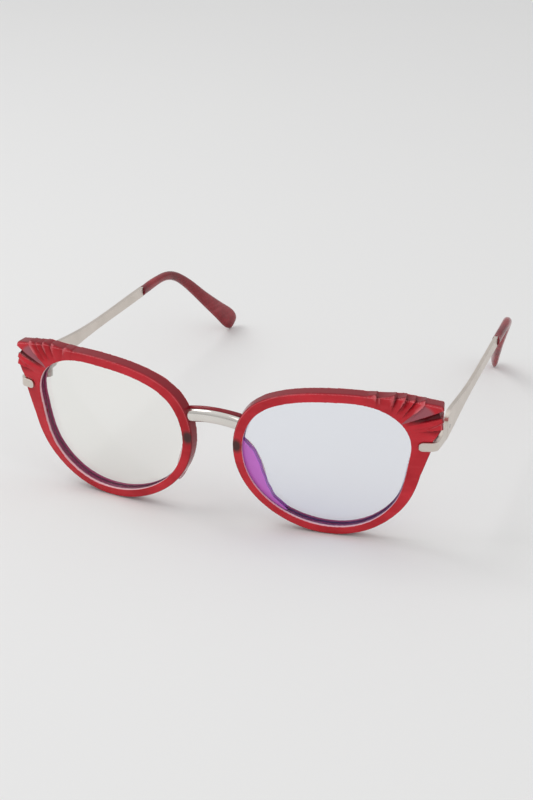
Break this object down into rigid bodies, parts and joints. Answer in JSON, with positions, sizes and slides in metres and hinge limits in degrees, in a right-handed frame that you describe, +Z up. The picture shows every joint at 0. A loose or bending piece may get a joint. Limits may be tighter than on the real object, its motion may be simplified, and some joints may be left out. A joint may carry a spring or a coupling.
{
  "type": "eyeglasses",
  "caption": "Cat-eye eyeglasses: pleated translucent plastic rims, arched metal bridge, and metal temples with plastic tips that fold on screw hinges.",
  "frame": {"origin": "under the middle of the open eyeglasses, at the level they stand on", "axes": "+Z up as they stand, +Y to the ends of the temple tips, +X to the wearer's left"},
  "size_m": [0.1354, 0.1565, 0.0487],
  "materials": {
    "rim_plastic": "polished translucent red",
    "tip_plastic": "polished translucent dark red",
    "pad_plastic": "polished pale translucent pink",
    "lens_glass": "clear, with a faint violet coating",
    "temple_metal": "satin silver",
    "bridge_metal": "polished silver",
    "small_metal": "satin silver"
  },
  "bodies": {
    "front": {"rim_left": "rim_plastic", "rim_right": "rim_plastic", "saddle_bar": "rim_plastic", "lens_left": "lens_glass", "lens_right": "lens_glass", "nose_pad_left": "pad_plastic", "nose_pad_right": "pad_plastic", "bridge": "bridge_metal", "bridge_pins": "small_metal", "endpiece_left": "temple_metal", "endpiece_right": "temple_metal", "endpiece_rivet_left": "small_metal", "endpiece_rivet_right": "small_metal", "hinge_block_left": "small_metal", "hinge_block_right": "small_metal", "hinge_screw_left": "small_metal", "hinge_screw_right": "small_metal"},
    "left_arm": {"temple_left": "temple_metal", "tip_left": "tip_plastic", "hinge_leaf_left": "small_metal", "temple_rivet_left": "small_metal"},
    "right_arm": {"temple_right": "temple_metal", "tip_right": "tip_plastic", "hinge_leaf_right": "small_metal", "temple_rivet_right": "small_metal"}
  },
  "joints": [
    {"name": "temple_fold_left", "type": "hinge", "parent": "front", "child": "left_arm", "pos_m": [0.06375, -0.05693, 0.03349], "axis": [0, 0, 1], "range_deg": [0, 88]},
    {"name": "temple_fold_right", "type": "hinge", "parent": "front", "child": "right_arm", "pos_m": [-0.06375, -0.05693, 0.03349], "axis": [0, 0, -1], "range_deg": [0, 80]}
  ]
}
